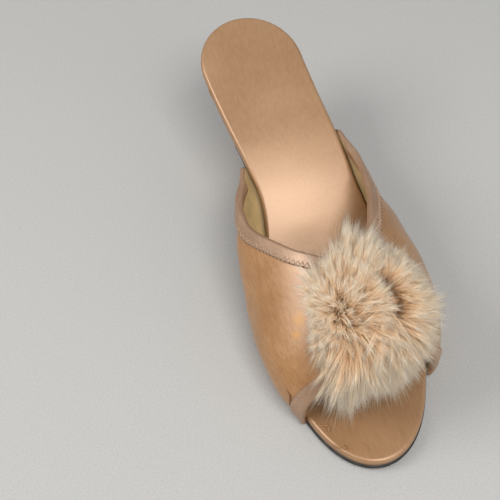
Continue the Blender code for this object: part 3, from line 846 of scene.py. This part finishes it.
# Root and tan: partly the fur's own colour, partly painted shade deep in the fur
FUR_ROOT_AND_DEPTH_SHADE = (0.300, 0.150, 0.062, 1)
FUR_TAN_AND_DEPTH_SHADE = (0.790, 0.495, 0.268, 1)
FUR_CREAM = (1.000, 0.768, 0.515, 1)
FUR_TIP = (1.000, 0.885, 0.715, 1)
FUR_CLUMPS, GUARD_CLUMPS = 2800, 600
FUR_HAIRS, GUARD_HAIRS = 18, 5
FUR_SPREAD, GUARD_SPREAD = 0.0009, 0.0016
FUR_LOWEST, GUARD_LOWEST = -0.72, -0.30
BARE_MIDDLE = (0.22, -0.40)
BARE_REACH = (0.22, 0.30)
BARE_ROOM = 0.0045
FURROW_MIDDLE = (0.12, 0.52)
FURROW_REACH = (0.07, 0.40)
HAIR_RADIUS = 0.00010
HAIR_SPOTS = np.array([0.0, 0.36, 0.70, 1.0])
HAIR_TAPER = np.array([0.9, 1.0, 0.65])
LOBE_DRIFT = (0.45, -0.80)


def to_shoe(local):
    """Pompom points turned on the pad and laid on its slant: local y runs down to the toe."""
    across = local[..., 0] * np.cos(FUR_TURN) - local[..., 1] * np.sin(FUR_TURN)
    down = local[..., 0] * np.sin(FUR_TURN) + local[..., 1] * np.cos(FUR_TURN)
    cosine, sine = np.cos(POMPOM_SLANT), np.sin(POMPOM_SLANT)
    return place(POMPOM_CENTRE[0] + across,
                 POMPOM_CENTRE[1] + down * cosine + local[..., 2] * sine,
                 POMPOM_CENTRE[2] - down * sine + local[..., 2] * cosine)


parting_line = curve(PARTING_TABLE["down"], PARTING_TABLE["across"])


def slope(value, start, width):
    """Nought up to a start, then rising evenly to one over a width."""
    return np.clip(value - start, 0, width) / width


def comb(roots):
    """Lay of the fur at roots on the unit ball, how upright it stands, and its length.

    Each hair lies away from the whorl on its side of the parting, more upright near
    the whorl. Below the whorls the two lobes draw apart and shorten at the parting.
    The fur is trimmed shorter on the inner side and at the back, and down is longest.
    """
    across, down = roots[:, 0], roots[:, 1]
    parting = parting_line(down)
    outer = across > parting
    gap = roots[:, :2] - np.where(outer[:, None], OUTER_WHORL, INNER_WHORL)
    gap += 0.10 * np.sin(37.0 * roots[:, [1, 0]] + (0.0, 1.7))
    far = np.linalg.norm(gap, axis=1)
    lay = np.zeros_like(roots)
    lay[:, :2] = gap / (far + 0.06)[:, None]
    below = np.clip(2.2 * down, 0, 1)
    beside = np.exp(-np.abs(across - parting) / 0.20)
    lay[:, 0] += np.where(outer, *LOBE_DRIFT) * beside * below
    swirl = (0.40 * np.sin(5.3 * across + 3.1 * down + 1.0)
             + 0.35 * np.sin(7.1 * down - 4.3 * across + 2.0)) * (1 - 0.7 * beside)
    c, s = np.cos(swirl), np.sin(swirl)
    lay[:, 0], lay[:, 1] = c * lay[:, 0] - s * lay[:, 1], s * lay[:, 0] + c * lay[:, 1]
    upright = np.clip(1 - far / 0.45, 0.0, 1.0) * np.where(outer, 0.35, 1.0)
    length = 1 - 0.50 * np.exp(-np.abs(across - parting) / 0.13) * below
    length *= 1 - 0.35 * upright
    length *= 1 - 0.66 * slope(-across, 0.30, 0.5) * np.exp(-((down - 0.12) / 0.52) ** 2)
    length *= 1 + 0.12 * slope(-across - down, 0.7, 0.5)
    length *= 1 - 0.40 * slope(-down, 0.25, 0.6) * slope(across, -0.6, 0.5)
    length *= 1 - 0.30 * slope(across + down, 0.75, 0.6)
    steep = np.abs(lay[:, 1]) / (np.linalg.norm(lay, axis=1) + 1e-6)
    length *= SIDE_LENGTH + (DOWN_LENGTH - SIDE_LENGTH) * steep
    length *= 1 + 0.10 * np.sin(6.0 * np.arctan2(down, across) + 0.8)
    return lay, upright, length


def clump_paths(count, low, lengths, seed):
    """Centre lines of fur clumps: roots spread by the golden angle, bent by lay and weight.

    Roots in an oval beside the parting and in the furrow below it are left out, which
    bares the hide, and hair that lies towards the parting is no longer than its room.
    """
    chance = np.random.RandomState(seed)
    index = np.arange(count) + 0.5
    up = 1 - (1 - low) * index / count
    angle = index * pi * (3 - 5 ** 0.5)
    ring = np.sqrt(np.clip(1 - up * up, 0, 1))
    roots = np.stack([ring * np.cos(angle), ring * np.sin(angle), up], -1)
    roots += 0.02 * chance.standard_normal(roots.shape)
    off = parting_line(roots[:, 1]) - roots[:, 0]
    bare = ((np.stack([-off, roots[:, 1]], -1) - BARE_MIDDLE) / BARE_REACH) ** 2
    furrow = ((roots[:, :2] - FURROW_MIDDLE) / FURROW_REACH) ** 2
    bare = ((bare.sum(1) < 1) | (furrow.sum(1) < 1)) & (roots[:, 2] > 0)
    roots, off = roots[~bare], off[~bare]
    lay, upright, full = comb(roots)
    outward = roots / FUR_BED
    outward /= np.linalg.norm(outward, axis=1, keepdims=True)
    aim = lay + (0.42 + 0.75 * upright)[:, None] * outward
    aim += 0.20 * chance.standard_normal(aim.shape)
    aim /= np.linalg.norm(aim, axis=1, keepdims=True)
    length = (lengths[0] + (lengths[1] - lengths[0]) * chance.random_sample(len(roots))) * full
    level = np.abs(roots[:, 1] - BARE_MIDDLE[1]) < 1.3 * BARE_REACH[1]
    room = np.where((off > 0) & level, off * FUR_BED[0] + BARE_ROOM, 1.0)
    length = np.minimum(length, room)
    bend = 0.22 * lay + np.array([0, 0.14, -0.20]) + 0.13 * chance.standard_normal(aim.shape)
    start = roots * FUR_BED + FUR_SHIFT
    return (start[:, None] + (aim * length[:, None])[:, None] * HAIR_SPOTS[:, None]
            + (bend * length[:, None])[:, None] * (HAIR_SPOTS ** 2)[:, None])


def hair_mesh(name, paths, hairs, spread, radius, seed, material):
    """Three-sided hairs that gather to a clump's tip, each drawn to a point.

    A hair is its clump's path, set off by a share of the spread that shrinks
    towards the tip, with a little sideways drift of its own that grows to the tip.
    """
    chance = np.random.RandomState(seed)
    count, steps = len(paths) * hairs, paths.shape[1]
    line = np.repeat(paths, hairs, 0)
    fade = 1 - 0.60 * np.linspace(0, 1, steps) ** 1.2
    offset = spread * chance.standard_normal((count, 3))
    stray = spread * 0.55 * chance.standard_normal((count, 3))
    stretch = 0.82 + 0.30 * chance.random_sample((count, 1, 1))
    line = line[:, :1] + (line - line[:, :1]) * stretch
    line = line + offset[:, None] * fade[:, None] + stray[:, None] * np.linspace(
        0, 1, steps)[:, None] ** 1.5
    line = to_shoe(line)
    aim = line[:, -1] - line[:, 0]
    side = np.cross(aim, chance.standard_normal((count, 3)))
    side /= np.linalg.norm(side, axis=1, keepdims=True)
    other = np.cross(aim / np.linalg.norm(aim, axis=1, keepdims=True), side)
    spin = 2 * pi * np.arange(3) / 3
    thick = radius * HAIR_TAPER
    cross_section = (np.cos(spin)[:, None] * side[:, None] + np.sin(spin)[:, None] * other[:, None])
    rings = line[:, :-1, None] + thick[:, None, None] * cross_section[:, None]
    points = np.concatenate([rings.reshape(count, -1, 3), line[:, -1:]], 1)
    each = points.shape[1]
    sides = cells(steps - 1, 3, wrap=True)
    last = (steps - 2) * 3 + np.arange(3)
    tip = np.stack([last, np.roll(last, -1), np.full(3, each - 1)], -1)
    root = [0, 2, 1]
    loops = np.concatenate([sides.ravel(), tip.ravel(), root])
    totals = np.repeat([4, 3], [len(sides), len(tip) + 1])
    mesh = bpy.data.meshes.new(name)
    mesh.vertices.add(count * each)
    mesh.vertices.foreach_set("co", points.astype(np.float32).ravel())
    all_loops = (loops + np.arange(count)[:, None] * each).ravel()
    all_totals = np.tile(totals, count)
    mesh.loops.add(len(all_loops))
    mesh.loops.foreach_set("vertex_index", all_loops.astype(np.int32))
    mesh.polygons.add(len(all_totals))
    mesh.polygons.foreach_set("loop_start", np.concatenate(
        [[0], np.cumsum(all_totals)[:-1]]).astype(np.int32))
    mesh.update(calc_edges=True)
    mesh.shade_smooth()
    reach = np.concatenate([np.repeat(np.linspace(0, 1, steps)[:-1], 3), [1.0]])
    tone = np.repeat(np.repeat(chance.random_sample(len(paths)), hairs) * 0.6
                     + 0.4 * chance.random_sample(count), each)
    for label, values in (("reach", np.tile(reach, count)), ("tone", tone)):
        mesh.attributes.new(label, "FLOAT", "POINT").data.foreach_set(
            "value", values.astype(np.float32))
    mesh.materials.append(material)
    made = bpy.data.objects.new(name, mesh)
    bpy.context.scene.collection.objects.link(made)
    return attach(made, "root")


def fur_colour(nodes):
    """Brown roots through tan to cream tips, each hair shifted by its own tone; the dark roots and
    tan are partly the fur's own colour and partly painted shade deep in the fur.
    """
    reach = add(nodes, "ShaderNodeAttribute", attribute_name="reach").outputs["Fac"]
    tone = add(nodes, "ShaderNodeAttribute", attribute_name="tone").outputs["Fac"]
    shift = add(nodes, "ShaderNodeMath", {0: tone, 1: 0.34}, operation="MULTIPLY").outputs[0]
    place_on = add(nodes, "ShaderNodeMath", {0: reach, 1: shift}, operation="ADD").outputs[0]
    return ramp(nodes, place_on, (0.10, FUR_ROOT_AND_DEPTH_SHADE), (0.42, FUR_TAN_AND_DEPTH_SHADE), (0.74, FUR_CREAM),
                (1.0, FUR_TIP))


fur = finish_of("cream fur", fur_colour, 0.50)
# The hide takes the roots' brown and tan, partly its own colour and partly painted shade under the
# fur
pad_hide = finish_of(
    "fur hide",
    lambda n: ramp(n, object_noise(n, 500), (0.35, FUR_ROOT_AND_DEPTH_SHADE), (0.7, FUR_TAN_AND_DEPTH_SHADE)), 0.9)

# Pad: a ball squeezed to the bed of the fur, its underside cut flat
PAD_FLAT = -0.60
pad_lift = np.linspace(0, pi, 40)[:, None]
pad_spin = 2 * pi * np.arange(72) / 72
ball = np.stack([np.sin(pad_lift) * np.cos(pad_spin), np.sin(pad_lift) * np.sin(pad_spin),
                 np.cos(pad_lift) * np.ones_like(pad_spin)], -1)
ball[..., 2] = np.maximum(ball[..., 2], PAD_FLAT)
pad = piece("pompom_pad", to_shoe(ball * FUR_BED + FUR_SHIFT), cells(40, 72, wrap=True),
            pad_hide)
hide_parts("pompom")

locks = clump_paths(FUR_CLUMPS, FUR_LOWEST, FUR_LENGTHS, seed=3)
for part, letter in enumerate("abcde"):
    hair_mesh("pompom_fur_" + letter, locks[part::5], FUR_HAIRS, FUR_SPREAD, HAIR_RADIUS,
              11 + part, fur)
guard = clump_paths(GUARD_CLUMPS, GUARD_LOWEST, GUARD_LENGTHS, seed=8)
hair_mesh("pompom_guard_hair", guard, GUARD_HAIRS, GUARD_SPREAD, 0.6 * HAIR_RADIUS, 21, fur)


# Floor, light and camera
# A plain pale cloth-grey floor, broad soft lights from the upper left and from above the
# toe, and a weak one low in front. The camera keeps the photograph's angle to the shoe.
FLOOR_GREY = (0.500, 0.495, 0.480, 1)
FLOOR_GREY_DEEP = (0.440, 0.435, 0.420, 1)
CAMERA_AZIMUTH = radians(-12.75)
CAMERA_ELEVATION = radians(55.95)
CAMERA_ROLL = radians(-4.1)
CAMERA_DISTANCE = 0.506
CAMERA_TARGET = np.array([-0.02644, 0.05202, 0.0300])
CAMERA_LENS = 75.6
LIGHT_AIM = np.array([0, 0.03, 0.03])
SKY_COLOUR = (0.92, 0.95, 1.0, 1)
SKY_STRENGTH = 0.38

floor_cloth = finish_of(
    "pale floor",
    lambda n: ramp(n, object_noise(n, 1100, 4.0), (0.30, FLOOR_GREY_DEEP), (0.60, FLOOR_GREY)),
    0.9, lambda n: bump(n, object_noise(n, 1800, 4.0), 0.20, 0.0002))
floor_mesh = bpy.data.meshes.new("floor")
floor_mesh.from_pydata([(-3, -3, 0), (3, -3, 0), (3, 3, 0), (-3, 3, 0)], [], [(0, 1, 2, 3)])
floor_mesh.materials.append(floor_cloth)
floor = bpy.data.objects.new("floor", floor_mesh)
bpy.context.scene.collection.objects.link(floor)


def soft_light(name, direction, distance, width, watts, colour):
    """Square area light that faces the shoe's middle from a direction."""
    lamp = bpy.data.lights.new(name, "AREA")
    lamp.size, lamp.energy, lamp.color = width, watts, colour
    made = bpy.data.objects.new(name, lamp)
    aim = np.array(direction) / np.linalg.norm(direction)
    made.location = LIGHT_AIM + aim * distance
    made.rotation_euler = Vector(aim).to_track_quat("Z", "Y").to_euler()
    bpy.context.scene.collection.objects.link(made)


soft_light("window", (-0.68, 0.06, 0.70), 1.1, 0.55, 5.9, (1.0, 0.98, 0.95))
soft_light("ceiling", (0.08, -0.45, 0.89), 1.1, 0.50, 6.6, (1.0, 0.985, 0.96))
soft_light("fill", (0.45, -0.80, 0.40), 1.3, 1.0, 3.2, (1.0, 0.98, 0.96))

world = bpy.data.worlds.new("studio")
world.use_nodes = True
sky = world.node_tree.nodes["Background"].inputs
sky["Color"].default_value, sky["Strength"].default_value = SKY_COLOUR, SKY_STRENGTH
bpy.context.scene.world = world
bpy.context.scene.view_settings.view_transform = "Standard"

back = np.array([np.sin(CAMERA_AZIMUTH) * np.cos(CAMERA_ELEVATION),
                 -np.cos(CAMERA_AZIMUTH) * np.cos(CAMERA_ELEVATION),
                 np.sin(CAMERA_ELEVATION)])
level = np.cross((0, 0, 1), back)
level /= np.linalg.norm(level)
upward = np.cross(back, level)
right = np.cos(CAMERA_ROLL) * level + np.sin(CAMERA_ROLL) * upward
upright = np.cross(back, right)
lens = bpy.data.cameras.new("photo camera")
lens.lens = CAMERA_LENS
lens.sensor_width = 36
camera = bpy.data.objects.new("photo camera", lens)
pose = np.eye(4)
pose[:3, 0], pose[:3, 1], pose[:3, 2] = right, upright, back
pose[:3, 3] = CAMERA_TARGET + back * CAMERA_DISTANCE
camera.matrix_world = Matrix(pose.tolist())
bpy.context.scene.collection.objects.link(camera)
bpy.context.scene.camera = camera
